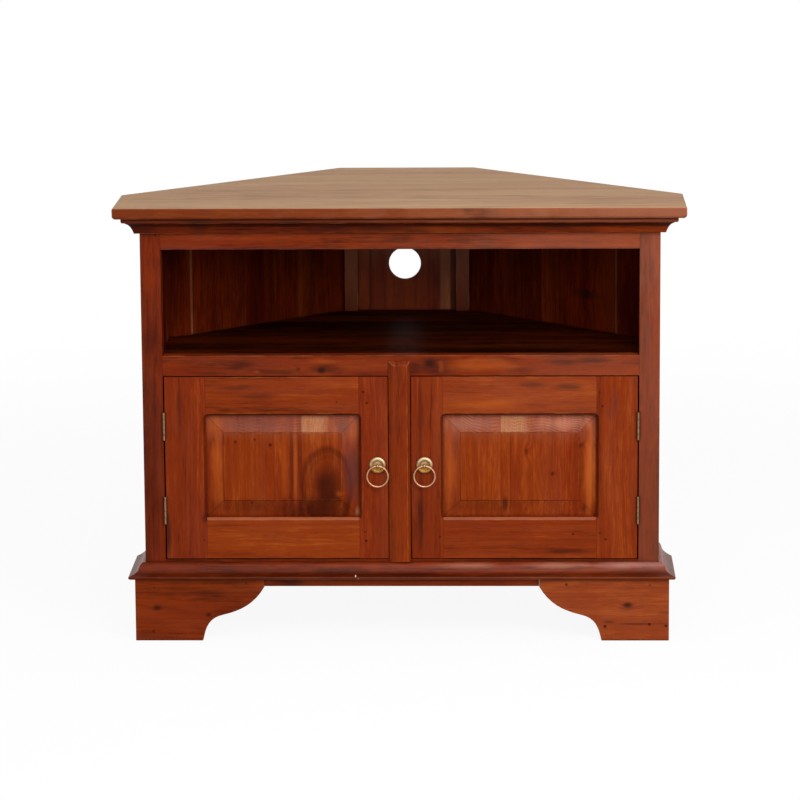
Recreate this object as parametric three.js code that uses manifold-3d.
// Corner TV cabinet: a six-sided mahogany cabinet that stands across the corner of a room.
// It has an open bay with a cable hole over a two-door cupboard, on ogee bracket feet.
// Millimetres, +Z up, the floor is Z = 0. The front faces -Y and +X is the viewer's right.
// Pieces of the right half are written out, and those of the left half mirror them.

import * as THREE from 'three';
import { mergeVertices } from 'three/addons/utils/BufferGeometryUtils.js';
import Module from 'manifold-3d';

const wasm = await Module();
wasm.setup();

// Plan of the cabinet
const overall_width = 1000;
const back_width = 252;
const side_depth = 176;
const overhang = 44;
const wall_overhang = 4.2;
const fit_gap = 0.3;

// Heights, from the floor up
const foot_height = 113;
const bottom_rail_height = 31.5;
const door_lower_gap = 1.5;
const door_height = 328;
const door_upper_gap = 2;
const mid_rail_height = 36;
const bay_height = 189;
const top_rail_height = 59;
const top_thickness = 20;

// Top board edges
const top_upper_radius = 3;
const top_lower_radius = 6;

// Carcass timber
const post_width = 36;
const post_depth = 36;
const face_rail_thickness = 24;
const side_rail_thickness = 32;
const side_panel_thickness = 20;
const board_thickness = 18;
const diagonal_thickness = 12;
const back_thickness = 9;
const back_inset = 4;

// Rear legs, shaped to the corner between the side and the diagonal
const leg_side_width = 36;
const leg_face_setback = 25;
const leg_face_width = 36;
const leg_face_rise = 22;
const leg_edge_width = 5;

// Battens in the two back corners
const batten_width = 25;
const batten_depth = 14;
const batten_chamfer = 1;

// Feet under the back corners
const back_foot_width = 45;
const back_foot_inset = 12;

// Cable hole in the back panel
const cable_hole_diameter = 60;
const cable_hole_offset = -4;
const cable_hole_above_shelf = 88;

// Centre post and the strip on its face
const strip_width = 38;
const strip_offset = -2.5;
const strip_thickness = 8;
const strip_edge_thickness = 2;
const strip_left_bevel = 9;
const strip_right_bevel = 5;
const strip_top_bevel = 7;
const strip_rail_lap = 26;
const strip_bottom_lap = 4;

// Cornice under the top board
const cornice_height = 29;
const cornice_projection = 30;
const bead_share = 0.29;
const bead_flat_share = 0.14;
const bead_foot_share = 0.84;
const fillet_share = 0.77;
const fillet_drop_share = 0.33;
const cove_hollow_shares = [0.45, 0.45];
const cove_foot_share = 0.3;

// Base moulding round the foot of the carcass
const moulding_height = 27;
const moulding_projection = 29;
const moulding_tip = 2.8;
const moulding_chamfer = 2.5;
const ogee_turn_shares = [0.41, 0.56];
const ogee_hollow_shares = [0.55, 0.31];
const ogee_round_shares = [0.36, 0.9];
const ogee_top_share = 0.14;
const curve_steps = 6;

// Bracket feet and the apron between them
const foot_projection = 18;
const front_foot_width = 119.5;
const front_foot_reach = 230;
const side_foot_width = 78;
const side_foot_reach = 128;
const apron_height = 15;
const apron_setback = 6;
const apron_thickness = 18;
const foot_cusp_share = 0.33;
const foot_cusp_height_share = 0.48;
const foot_rise_shares = [[0.05, 0.26], [0.1, 0.42]];
const foot_sweep_shares = [[0.63, 0.56], [0.84, 0.69]];
const foot_curve_steps = 8;

// Doors
const door_thickness = 22;
const hinge_side_gap = 2.6;
const meeting_gap = 1.5;
const hinge_stile_width = 72;
const panel_start = 74;
const door_top_rail = 69.8;
const door_bottom_rail = 74;
const groove_depth = 10;
const groove_setback = 12;
const tongue_thickness = 6;
const tongue_end_gap = 0.5;
const frame_chamfer = 4;
const chamfer_corner_radius = 5;
const corner_steps = 5;
const panel_bevel = 31;
const panel_shoulder = 1.5;
const field_setback = 2;
const cut_overrun = 2;

// Bullet catch in the top edge of each door
const catch_radius = 4;
const catch_length = 14;
const catch_distance = 60;
const catch_ball_radius = 2.6;
const catch_ball_rise = 1.3;
const round_steps = 16;

// Butt hinges
const hinge_length = 50;
const hinge_inset = 88;
const knuckle_radius = 3;
const knuckle_count = 5;
const knuckle_clearance = 0.4;
const pin_radius = 1.5;
const pin_clearance = 0.35;
const leaf_thickness = 0.9;
const leaf_depth = 16;
const leaf_clearance = 0.2;

// Ring pulls
const pull_distance = 41.5;
const pull_above_door_foot = 169;
const rosette_radius = 15.5;
const rosette_edge = 1;
const rosette_rim_height = 4.2;
const rosette_rim_share = 0.78;
const rosette_dish_height = 2;
const rosette_dish_share = 0.42;
const rosette_slope_shares = [0.95, 0.93];
const rosette_steps = 28;
const rosette_curve_steps = 4;
const boss_neck_radius = 2.6;
const boss_ball_radius = 3.8;
const boss_reach = 9;
const eye_radius = 2.35;
const ring_radius = 18.5;
const ring_wire_radius = 1.7;
const ring_steps = 36;
const wire_steps = 10;
const ball_steps = 6;

// Places that follow from those sizes
const half_width = overall_width / 2;
const back_half = back_width / 2;
const overall_depth = side_depth + half_width - back_half;
const front_edge_y = -overall_depth / 2;
const back_edge_y = overall_depth / 2;
const side_end_y = front_edge_y + side_depth;
const top_wall_sum = half_width + side_end_y;
const carcass_x = half_width - overhang;
const face_y = front_edge_y + overhang;
const wall_sum = top_wall_sum - wall_overhang * Math.SQRT2;
const lining_sum = wall_sum - diagonal_thickness * Math.SQRT2;
const gap_sum = fit_gap * Math.SQRT2;
const opening_x = carcass_x - post_width;
const wall_inner_x = carcass_x - side_rail_thickness;
const rail_back_y = face_y + face_rail_thickness;
const post_back_y = face_y + post_depth;
const back_outer_y = back_edge_y - back_inset;
const back_inner_y = back_outer_y - back_thickness;
const batten_front_y = back_inner_y - batten_depth;
const batten_back_y = back_inner_y - fit_gap;
const batten_outer_x = lining_sum - gap_sum - batten_back_y + batten_chamfer;
const batten_inner_x = batten_outer_x - batten_width;

const bottom_rail_top = foot_height + bottom_rail_height;
const door_bottom = bottom_rail_top + door_lower_gap;
const door_top = door_bottom + door_height;
const mid_rail_bottom = door_top + door_upper_gap;
const shelf_top = mid_rail_bottom + mid_rail_height;
const top_rail_bottom = shelf_top + bay_height;
const carcass_top = top_rail_bottom + top_rail_height;
const overall_height = carcass_top + top_thickness;

const strip_half = strip_width / 2;
const door_outer_x = opening_x - hinge_side_gap;
const panel_end = door_outer_x - hinge_stile_width;
const panel_low = door_bottom + door_bottom_rail;
const panel_high = door_top - door_top_rail;
const hinge_x = opening_x - hinge_side_gap / 2;
const hinge_y = face_y - knuckle_radius - knuckle_clearance;
const pull_z = door_bottom + pull_above_door_foot;
const pull_y = face_y - fit_gap - boss_reach;

// Finishes
const wood = (color) => new THREE.MeshStandardMaterial({ color, roughness: 0.3, metalness: 0 });
const mahogany = wood(0x8a3a1a);
const mahogany_light = wood(0x9c4a1c);
const mahogany_dark = wood(0x6a2814);
const mahogany_top = wood(0x8f5230);
const brass = new THREE.MeshStandardMaterial({ color: 0xc9ab72, roughness: 0.3, metalness: 1 });

const cabinet = new THREE.Group();

function add(name, geometry, material) {
  const mesh = new THREE.Mesh(geometry, material);
  mesh.name = name;
  cabinet.add(mesh);
}

function addPair(nameOf, geometryOf, material) {
  add(nameOf('left'), mirrored(geometryOf(-1)), material);
  add(nameOf('right'), geometryOf(1), material);
}

// Geometry tools
function outward(geometry) {
  const points = geometry.getAttribute('position');
  const index = geometry.getIndex();
  const corner = (i) => new THREE.Vector3().fromBufferAttribute(points, i);
  let volume = 0;
  for (let i = 0; i < index.count; i += 3) {
    const [a, b, c] = [0, 1, 2].map((k) => corner(index.getX(i + k)));
    volume += a.dot(b.cross(c));
  }
  if (volume < 0) {
    for (let i = 0; i < index.count; i += 3) {
      const first = index.getX(i);
      index.setX(i, index.getX(i + 1));
      index.setX(i + 1, first);
    }
  }
  geometry.computeVertexNormals();
  return geometry;
}

function bare(geometry) {
  const copy = geometry.clone();
  copy.deleteAttribute('normal');
  copy.deleteAttribute('uv');
  return mergeVertices(copy);
}

function mirrored(geometry) {
  return outward(bare(geometry).scale(-1, 1, 1));
}

function closedLoft(contour, rings) {
  const count = contour.length;
  const positions = rings.flat().flatMap((point) => point.toArray());
  const index = [];
  for (let r = 0; r + 1 < rings.length; r += 1) {
    for (let i = 0; i < count; i += 1) {
      const a = r * count + i;
      const b = r * count + ((i + 1) % count);
      index.push(a, b, b + count, a, b + count, a + count);
    }
  }
  const last = (rings.length - 1) * count;
  const clockwise = THREE.ShapeUtils.isClockWise(contour);
  for (const [p, b, q] of THREE.ShapeUtils.triangulateShape(contour, [])) {
    const [a, c] = clockwise ? [q, p] : [p, q];
    index.push(a, c, b, last + a, last + b, last + c);
  }
  const geometry = new THREE.BufferGeometry();
  geometry.setAttribute('position', new THREE.Float32BufferAttribute(positions, 3));
  geometry.setIndex(index);
  return outward(geometry);
}

function insetOutline(points, distance) {
  const count = points.length;
  return points.map((point, i) => {
    const before = points[(i + count - 1) % count];
    const after = points[(i + 1) % count];
    const a = new THREE.Vector2().subVectors(point, before).normalize();
    const b = new THREE.Vector2().subVectors(after, point).normalize();
    const normalA = new THREE.Vector2(-a.y, a.x);
    const normalB = new THREE.Vector2(-b.y, b.x);
    const bisector = new THREE.Vector2().addVectors(normalA, normalB).normalize();
    return point.clone().addScaledVector(bisector, distance / bisector.dot(normalA));
  });
}

function counterclockwise(pairs) {
  const points = pairs.map(([x, y]) => new THREE.Vector2(x, y));
  return THREE.ShapeUtils.isClockWise(points) ? points.reverse() : points;
}

function planPrism(pairs, low, high) {
  const outline = counterclockwise(pairs);
  const ring = (z) => outline.map((point) => new THREE.Vector3(point.x, point.y, z));
  return closedLoft(outline, [ring(low), ring(high)]);
}

function block([x0, x1], [y0, y1], [z0, z1]) {
  const geometry = new THREE.BoxGeometry(x1 - x0, y1 - y0, z1 - z0);
  return bare(geometry.translate((x0 + x1) / 2, (y0 + y1) / 2, (z0 + z1) / 2));
}

function rod(radius, length, axis, centre, steps = round_steps) {
  const geometry = new THREE.CylinderGeometry(radius, radius, length, steps);
  if (axis === 'z') geometry.rotateX(Math.PI / 2);
  if (axis === 'x') geometry.rotateZ(Math.PI / 2);
  return bare(geometry.translate(...centre));
}

function solid(geometry) {
  const clean = bare(geometry);
  return new wasm.Manifold(new wasm.Mesh({
    numProp: 3,
    vertProperties: new Float32Array(clean.getAttribute('position').array),
    triVerts: new Uint32Array(clean.getIndex().array),
  }));
}

function shell(manifold) {
  const mesh = manifold.getMesh();
  const geometry = new THREE.BufferGeometry();
  geometry.setAttribute('position', new THREE.Float32BufferAttribute(mesh.vertProperties, 3));
  geometry.setIndex(Array.from(mesh.triVerts));
  geometry.computeVertexNormals();
  return geometry;
}

function joined(...geometries) {
  return shell(geometries.map(solid).reduce((whole, next) => whole.add(next)));
}

function cut(geometry, ...cutters) {
  return shell(cutters.map(solid).reduce((whole, next) => whole.subtract(next), solid(geometry)));
}

function curvePoints(start, ...segments) {
  const path = new THREE.Path();
  path.moveTo(...start);
  for (const { to, by = [], steps = 1 } of segments) {
    if (by.length === 1) path.quadraticCurveTo(...by[0], ...to);
    if (by.length === 2) path.bezierCurveTo(...by[0], ...by[1], ...to);
    if (by.length === 0) path.lineTo(...to);
    path.curves.at(-1).steps = steps;
  }
  const points = [start];
  for (const curve of path.curves) {
    points.push(...curve.getPoints(curve.steps).slice(1).map((point) => point.toArray()));
  }
  return points;
}

// Top board: a hexagon with eased upper edges and rounder lower ones
function topBoard() {
  const outline = counterclockwise([
    [-half_width, front_edge_y], [half_width, front_edge_y], [half_width, side_end_y],
    [back_half, back_edge_y], [-back_half, back_edge_y], [-half_width, side_end_y],
  ]);
  const stations = [];
  for (let i = 0; i <= curve_steps; i += 1) {
    const turn = (i / curve_steps) * (Math.PI / 2);
    stations.push([
      top_lower_radius * (1 - Math.sin(turn)),
      carcass_top + top_lower_radius * (1 - Math.cos(turn)),
    ]);
  }
  for (let i = 0; i <= curve_steps; i += 1) {
    const turn = (i / curve_steps) * (Math.PI / 2);
    stations.push([
      top_upper_radius * (1 - Math.cos(turn)),
      overall_height - top_upper_radius * (1 - Math.sin(turn)),
    ]);
  }
  const rings = stations.map(([inset, z]) => insetOutline(outline, inset)
    .map((point) => new THREE.Vector3(point.x, point.y, z)));
  return closedLoft(outline, rings);
}

// Mouldings: a profile of [outward, height] points, run along the front or the right side
function mouldingRun(profile, ends, place) {
  const contour = profile.map(([out, z]) => new THREE.Vector2(-out, z));
  const ring = ({ at, lean }) => profile.map(([out, z]) => place(at + lean * out, out, z));
  return closedLoft(contour, ends.map(ring));
}

function frontRun(profile) {
  const end = carcass_x - gap_sum / 2;
  return mouldingRun(profile, [{ at: -end, lean: -1 }, { at: end, lean: 1 }],
    (along, out, z) => new THREE.Vector3(along, face_y - out, z));
}

function sideRun(profile) {
  const front = face_y + gap_sum / 2;
  const rear = wall_sum - carcass_x;
  return mouldingRun(profile, [{ at: front, lean: -1 }, { at: rear, lean: -1 }],
    (along, out, z) => new THREE.Vector3(carcass_x + out, along, z));
}

function corniceProfile() {
  const top = carcass_top - fit_gap;
  const at = (outShare, dropShare) => [
    cornice_projection * outShare, top - cornice_height * dropShare,
  ];
  return curvePoints(
    [fit_gap, top],
    { to: at(1, 0) },
    { to: at(1, bead_flat_share) },
    { to: at(bead_foot_share, bead_share), by: [at(1, bead_share)], steps: curve_steps },
    { to: at(fillet_share, bead_share) },
    { to: at(fillet_share, fillet_drop_share) },
    { to: at(cove_foot_share, 1), by: [at(...cove_hollow_shares)], steps: curve_steps },
    { to: [fit_gap, top - cornice_height] },
  );
}

function baseProfile() {
  const at = ([outShare, riseShare]) => [
    moulding_projection * outShare, foot_height + moulding_height * riseShare,
  ];
  const tip_low = foot_height + moulding_chamfer;
  const top = foot_height + moulding_height;
  return curvePoints(
    [fit_gap, foot_height],
    { to: [moulding_projection - moulding_chamfer, foot_height] },
    { to: [moulding_projection, tip_low] },
    { to: [moulding_projection, tip_low + moulding_tip] },
    { to: at(ogee_turn_shares), by: [at(ogee_hollow_shares)], steps: curve_steps },
    { to: at([ogee_top_share, 1]), by: [at(ogee_round_shares)], steps: curve_steps },
    { to: [fit_gap, top] },
  );
}

// Carcass outlines, in plan, for the right half
const leg_face_start_y = wall_sum - carcass_x + leg_face_setback;
const leg_face_end_x = wall_inner_x - leg_face_width;
const leg_face_end_y = leg_face_start_y + leg_face_rise;
const leg_lining_x = leg_face_end_x - leg_edge_width;
const leg_lining_y = lining_sum - leg_lining_x;
const leg_outer_x = leg_lining_x + (wall_sum - lining_sum) / 2;

function rearLegOutline() {
  const corner_y = wall_sum - carcass_x;
  return [
    [carcass_x, corner_y], [carcass_x, corner_y - leg_side_width],
    [wall_inner_x, corner_y - leg_side_width], [wall_inner_x, leg_face_start_y],
    [leg_face_end_x, leg_face_end_y], [leg_lining_x, leg_lining_y],
    [leg_outer_x, wall_sum - leg_outer_x],
  ];
}

function diagonalOutline() {
  const step = gap_sum / 2;
  return [
    [leg_lining_x - step, leg_lining_y + step], [lining_sum - back_outer_y, back_outer_y],
    [wall_sum - back_outer_y, back_outer_y], [leg_outer_x - step, wall_sum - leg_outer_x + step],
  ];
}

function battenOutline() {
  return [
    [batten_inner_x, batten_front_y], [batten_outer_x, batten_front_y],
    [batten_outer_x, batten_back_y - batten_chamfer],
    [batten_outer_x - batten_chamfer, batten_back_y], [batten_inner_x, batten_back_y],
  ];
}

function boardOutline() {
  const right = [
    [opening_x, rail_back_y], [opening_x, post_back_y], [wall_inner_x, post_back_y],
    [wall_inner_x, leg_face_start_y], [leg_face_end_x, leg_face_end_y],
    [leg_lining_x, leg_lining_y], [lining_sum - batten_front_y, batten_front_y],
    [batten_inner_x, batten_front_y], [batten_inner_x, back_inner_y],
  ];
  const left = right.map(([x, y]) => [-x, y]).reverse();
  const room = counterclockwise([...right, ...left]);
  return insetOutline(room, fit_gap).map((point) => point.toArray());
}

function backPanel() {
  const inner_x = lining_sum - gap_sum - back_inner_y;
  const outer_x = lining_sum - gap_sum - back_outer_y;
  const panel = planPrism([
    [-inner_x, back_inner_y], [inner_x, back_inner_y],
    [outer_x, back_outer_y], [-outer_x, back_outer_y],
  ], foot_height, carcass_top - fit_gap);
  const centre = [cable_hole_offset, back_inner_y, shelf_top + cable_hole_above_shelf];
  const hole_steps = 2 * round_steps;
  return cut(panel, rod(cable_hole_diameter / 2, 4 * back_thickness, 'y', centre, hole_steps));
}

// Face frame and centre post
const face_span = [face_y, rail_back_y];
const rail_reach = opening_x - fit_gap;

function faceRail(low, high) {
  return block([-rail_reach, rail_reach], face_span, [low, high]);
}

function centreStrip() {
  const left = strip_offset - strip_half;
  const right = strip_offset + strip_half;
  const low = bottom_rail_top - strip_bottom_lap;
  const high = mid_rail_bottom + strip_rail_lap;
  const back = face_y - fit_gap;
  const ring = ([x0, x1, z1, y]) => [[x0, low], [x1, low], [x1, z1], [x0, z1]]
    .map(([x, z]) => new THREE.Vector3(x, y, z));
  const contour = counterclockwise([[left, low], [right, low], [right, high], [left, high]]);
  return closedLoft(contour, [
    [left, right, high, back],
    [left, right, high, back - strip_edge_thickness],
    [left + strip_left_bevel, right - strip_right_bevel, high - strip_top_bevel,
      back - strip_thickness],
  ].map(ring));
}

// Bracket feet: x runs inwards from the mitred outer corner, z up
function footOutline(width, reach, length) {
  const shoulder = foot_height - apron_height;
  const top = foot_height - fit_gap;
  const sweep = reach - width;
  const at = ([acrossShare, riseShare]) => [width + sweep * acrossShare, shoulder * riseShare];
  return curvePoints(
    [0, 0],
    { to: [width, 0] },
    {
      to: at([foot_cusp_share, foot_cusp_height_share]),
      by: foot_rise_shares.map(at),
      steps: foot_curve_steps,
    },
    { to: [reach, shoulder], by: foot_sweep_shares.map(at), steps: foot_curve_steps },
    ...(length > reach ? [{ to: [length, shoulder] }] : []),
    { to: [length, top] },
    { to: [0, top] },
  );
}

function bracketFoot(outline, place, rearLean = 0) {
  const contour = outline.map(([x, z]) => new THREE.Vector2(x, z));
  const length = Math.max(...outline.map(([x]) => x));
  const depth = foot_projection - fit_gap;
  const ring = (inwards) => outline.map(([x, z]) => {
    const mitre = x === 0 ? inwards + gap_sum / 2 : 0;
    const rear = x === length ? rearLean * inwards : 0;
    return place(x + mitre + rear, inwards, z);
  });
  return closedLoft(contour, [ring(0), ring(depth)]);
}

const foot_corner_x = carcass_x + foot_projection;
const foot_corner_y = face_y - foot_projection;

function frontFoot() {
  const outline = footOutline(front_foot_width, front_foot_reach, front_foot_reach);
  return bracketFoot(outline, (x, inwards, z) => new THREE.Vector3(
    foot_corner_x - x, foot_corner_y + inwards, z));
}

function sideFoot() {
  const length = wall_sum - foot_corner_x - foot_corner_y;
  const outline = footOutline(side_foot_width, side_foot_reach, length);
  return bracketFoot(outline, (x, inwards, z) => new THREE.Vector3(
    foot_corner_x - inwards, foot_corner_y + x, z), 1);
}

// Doors, written for the right-hand one: side is 1 on the right and -1 on the left
const door_back_y = face_y + door_thickness;
const groove_span = [face_y + groove_setback, face_y + groove_setback + tongue_thickness
  + 2 * fit_gap];
const tongue_span = [groove_span[0] + fit_gap, groove_span[1] - fit_gap];
const door_span = [face_y, door_back_y];

function meetingEdge(side) {
  return strip_half + side * strip_offset + meeting_gap;
}

function roundedRectangle([x0, x1], [z0, z1], grow, radius) {
  const points = [];
  const corners = [[x1, z0], [x1, z1], [x0, z1], [x0, z0]];
  const inward = [[-1, 1], [-1, -1], [1, -1], [1, 1]];
  corners.forEach(([x, z], k) => {
    for (let i = 0; i <= corner_steps; i += 1) {
      const turn = (k - 1 + i / corner_steps) * (Math.PI / 2);
      points.push([
        x + inward[k][0] * radius + (radius + grow) * Math.cos(turn),
        z + inward[k][1] * radius + (radius + grow) * Math.sin(turn),
      ]);
    }
  });
  return points;
}

function frameChamferCutter() {
  const ring = (grow, y) => roundedRectangle([panel_start, panel_end], [panel_low, panel_high],
    grow, chamfer_corner_radius).map(([x, z]) => new THREE.Vector3(x, y, z));
  const outer = frame_chamfer + cut_overrun;
  const contour = ring(0, face_y).map((point) => new THREE.Vector2(point.x, point.z));
  return closedLoft(contour, [ring(0, face_y + frame_chamfer), ring(outer, face_y - cut_overrun)]);
}

function doorStile(across, grooveSide) {
  const edge = grooveSide > 0 ? across[1] : across[0];
  const groove = [edge - groove_depth, edge + groove_depth];
  const tall = [door_bottom, door_top];
  const past = [door_bottom - cut_overrun, door_top + cut_overrun];
  return cut(block(across, door_span, tall), block(groove, groove_span, past),
    frameChamferCutter());
}

function doorRail(tall, grooveSide) {
  const edge = grooveSide > 0 ? tall[1] : tall[0];
  const across = [panel_start + fit_gap, panel_end - fit_gap];
  const past = [panel_start - cut_overrun, panel_end + cut_overrun];
  const body = cut(block(across, door_span, tall),
    block(past, groove_span, [edge - groove_depth, edge + groove_depth]), frameChamferCutter());
  const inner = edge - grooveSide * (groove_depth + fit_gap);
  const outer = grooveSide > 0 ? tall[0] : tall[1];
  const tenon_reach = groove_depth - fit_gap;
  const tenon = block([panel_start - tenon_reach, panel_end + tenon_reach], tongue_span,
    [Math.min(inner, outer), Math.max(inner, outer)]);
  return joined(body, tenon);
}

const catch_centre = [panel_start + catch_distance, (face_y + door_back_y) / 2];

function doorTopRail() {
  const [x, y] = catch_centre;
  const bore = rod(catch_radius + fit_gap, 2 * (catch_length + fit_gap), 'z', [x, y, door_top]);
  return cut(doorRail([panel_high, door_top], -1), bore);
}

function doorPanel() {
  const tongue = groove_depth - tongue_end_gap;
  const outline = counterclockwise([
    [panel_start - tongue, panel_low - tongue], [panel_end + tongue, panel_low - tongue],
    [panel_end + tongue, panel_high + tongue], [panel_start - tongue, panel_high + tongue],
  ]);
  const field_y = face_y + field_setback;
  const stations = [
    [0, tongue_span[1]], [0, tongue_span[0]], [tongue, tongue_span[0]],
    [tongue + panel_bevel, field_y + panel_shoulder], [tongue + panel_bevel, field_y],
  ];
  return closedLoft(outline, stations.map(([inset, y]) => insetOutline(outline, inset)
    .map((point) => new THREE.Vector3(point.x, y, point.y))));
}

function bulletCatch() {
  const [x, y] = catch_centre;
  const barrel = rod(catch_radius, catch_length, 'z', [x, y, door_top - catch_length / 2]);
  const ball = bare(new THREE.SphereGeometry(catch_ball_radius, round_steps, ball_steps)
    .rotateX(Math.PI / 2).translate(x, y, door_top + catch_ball_rise - catch_ball_radius));
  return joined(barrel, ball);
}

// Butt hinges: the leaf on the post holds the pin, and the leaf on the door turns on it
function knuckleSpan(z, number) {
  const pitch = hinge_length / knuckle_count;
  const low = z - hinge_length / 2 + number * pitch;
  return [low + fit_gap / 2, low + pitch - fit_gap / 2];
}

function hingeLeaf(z, onPost) {
  const inner = onPost
    ? opening_x - leaf_clearance - leaf_thickness
    : door_outer_x + leaf_clearance;
  const across = [inner, inner + leaf_thickness];
  const plate_front = face_y + leaf_clearance;
  const plate = block(across, [plate_front, plate_front + leaf_depth],
    [z - hinge_length / 2 + fit_gap / 2, z + hinge_length / 2 - fit_gap / 2]);
  const pieces = [plate];
  for (let n = onPost ? 0 : 1; n < knuckle_count; n += 2) {
    const [low, high] = knuckleSpan(z, n);
    pieces.push(rod(knuckle_radius, high - low, 'z', [hinge_x, hinge_y, (low + high) / 2]));
    pieces.push(block(across, [hinge_y, plate_front + leaf_thickness], [low, high]));
  }
  const centre = [hinge_x, hinge_y, z];
  const bore = rod(pin_radius + pin_clearance, 2 * hinge_length, 'z', centre);
  const pin = rod(pin_radius, hinge_length - fit_gap, 'z', centre);
  return onPost ? joined(...pieces, pin) : cut(joined(...pieces), bore);
}

// Ring pulls: a dished rosette with an eyed boss, and a free ring through the eye
function rosette() {
  const rim = rosette_radius * rosette_rim_share;
  const dish = rosette_radius * rosette_dish_share;
  const [slope_out, slope_up] = rosette_slope_shares;
  const neck_top = boss_reach
    - Math.sqrt(boss_ball_radius ** 2 - boss_neck_radius ** 2);
  const face = curvePoints(
    [0, 0],
    { to: [rosette_radius, 0] },
    { to: [rosette_radius, rosette_edge] },
    {
      to: [rim, rosette_rim_height],
      by: [[rosette_radius * slope_out, rosette_rim_height * slope_up]],
      steps: rosette_curve_steps,
    },
    {
      to: [dish, rosette_dish_height],
      by: [[(rim + dish) / 2, rosette_rim_height]],
      steps: rosette_curve_steps,
    },
    { to: [boss_neck_radius, rosette_dish_height] },
    { to: [boss_neck_radius, neck_top] },
  );
  const start = Math.asin(boss_neck_radius / boss_ball_radius);
  for (let i = 1; i <= ball_steps; i += 1) {
    const turn = start + (Math.PI - start) * (i / ball_steps);
    const out = i === ball_steps ? 0 : boss_ball_radius * Math.sin(turn);
    face.push([out, boss_reach - boss_ball_radius * Math.cos(turn)]);
  }
  const profile = face.map(([x, y]) => new THREE.Vector2(x, y));
  const body = new THREE.LatheGeometry(profile, rosette_steps).rotateX(Math.PI)
    .translate(pull_distance, face_y - fit_gap, pull_z);
  const eye = rod(eye_radius, 4 * boss_ball_radius, 'x', [pull_distance, pull_y, pull_z]);
  return cut(outward(bare(body)), eye);
}

function ring() {
  return bare(new THREE.TorusGeometry(ring_radius, ring_wire_radius, wire_steps, ring_steps)
    .rotateX(Math.PI / 2).translate(pull_distance, pull_y, pull_z - ring_radius));
}

// Carcass
add('top_board', topBoard(), mahogany_top);
add('cornice_front', frontRun(corniceProfile()), mahogany);
addPair((side) => `cornice_${side}`, () => sideRun(corniceProfile()), mahogany);

add('top_rail', faceRail(top_rail_bottom, carcass_top - fit_gap), mahogany);
add('mid_rail', faceRail(mid_rail_bottom, shelf_top), mahogany_light);
add('bottom_rail', faceRail(foot_height, bottom_rail_top), mahogany);
addPair((side) => `front_post_${side}`,
  () => block([opening_x, carcass_x], [face_y, post_back_y], [0, carcass_top - fit_gap]), mahogany);

const side_rail_span = [post_back_y + fit_gap, wall_sum - carcass_x - leg_side_width - fit_gap];
const side_rail_across = [wall_inner_x, carcass_x];
addPair((side) => `side_top_rail_${side}`,
  () => block(side_rail_across, side_rail_span, [top_rail_bottom, carcass_top - fit_gap]), mahogany);
addPair((side) => `side_bottom_rail_${side}`,
  () => block(side_rail_across, side_rail_span, [foot_height, bottom_rail_top]), mahogany);
addPair((side) => `side_panel_${side}`,
  () => block([wall_inner_x, wall_inner_x + side_panel_thickness], side_rail_span,
    [bottom_rail_top + fit_gap, top_rail_bottom - fit_gap]), mahogany_dark);

addPair((side) => `rear_leg_${side}`,
  () => planPrism(rearLegOutline(), 0, carcass_top - fit_gap), mahogany_dark);
addPair((side) => `diagonal_panel_${side}`,
  () => planPrism(diagonalOutline(), foot_height, carcass_top - fit_gap), mahogany_dark);
addPair((side) => `corner_batten_${side}`,
  () => planPrism(battenOutline(), bottom_rail_top - board_thickness, carcass_top - fit_gap),
  mahogany_dark);
add('back_panel', backPanel(), mahogany_dark);
add('bay_shelf', planPrism(boardOutline(), shelf_top - board_thickness, shelf_top), mahogany);
add('bottom_board', planPrism(boardOutline(), bottom_rail_top - board_thickness, bottom_rail_top),
  mahogany_dark);

add('centre_post', block([strip_offset - strip_half, strip_offset + strip_half], face_span,
  [bottom_rail_top + fit_gap, mid_rail_bottom - fit_gap]), mahogany);
add('centre_strip', centreStrip(), mahogany);

// Base
add('base_moulding_front', frontRun(baseProfile()), mahogany);
addPair((side) => `base_moulding_${side}`, () => sideRun(baseProfile()), mahogany);
const apron_reach = foot_corner_x - front_foot_reach - fit_gap;
const apron_face_y = foot_corner_y + apron_setback;
add('apron_front', block([-apron_reach, apron_reach],
  [apron_face_y, apron_face_y + apron_thickness],
  [foot_height - apron_height, foot_height - fit_gap]), mahogany_light);
addPair((side) => `front_foot_${side}`, () => frontFoot(), mahogany);
addPair((side) => `side_foot_${side}`, () => sideFoot(), mahogany);
const back_foot_outer_x = lining_sum - gap_sum - batten_front_y - back_foot_inset;
addPair((side) => `back_foot_${side}`,
  () => block([back_foot_outer_x - back_foot_width, back_foot_outer_x],
    [batten_front_y - back_foot_width - fit_gap, batten_front_y - fit_gap],
    [0, bottom_rail_top - board_thickness - fit_gap]), mahogany_dark);

// Doors and their fittings
addPair((side) => `${side}_door_hinge_stile`,
  () => doorStile([panel_end, door_outer_x], -1), mahogany);
addPair((side) => `${side}_door_meeting_stile`,
  (side) => doorStile([meetingEdge(side), panel_start], 1), mahogany);
addPair((side) => `${side}_door_top_rail`, () => doorTopRail(), mahogany);
addPair((side) => `${side}_door_bottom_rail`,
  () => doorRail([door_bottom, panel_low], 1), mahogany);
addPair((side) => `${side}_door_panel`, () => doorPanel(), mahogany_light);
addPair((side) => `${side}_door_catch`, () => bulletCatch(), brass);
const hinge_heights = { upper: door_top - hinge_inset, lower: door_bottom + hinge_inset };
for (const [level, z] of Object.entries(hinge_heights)) {
  addPair((side) => `${side}_${level}_hinge_post_leaf`, () => hingeLeaf(z, true), brass);
  addPair((side) => `${side}_${level}_hinge_door_leaf`, () => hingeLeaf(z, false), brass);
}
addPair((side) => `${side}_pull_rosette`, () => rosette(), brass);
addPair((side) => `${side}_pull_ring`, () => ring(), brass);

export default cabinet;
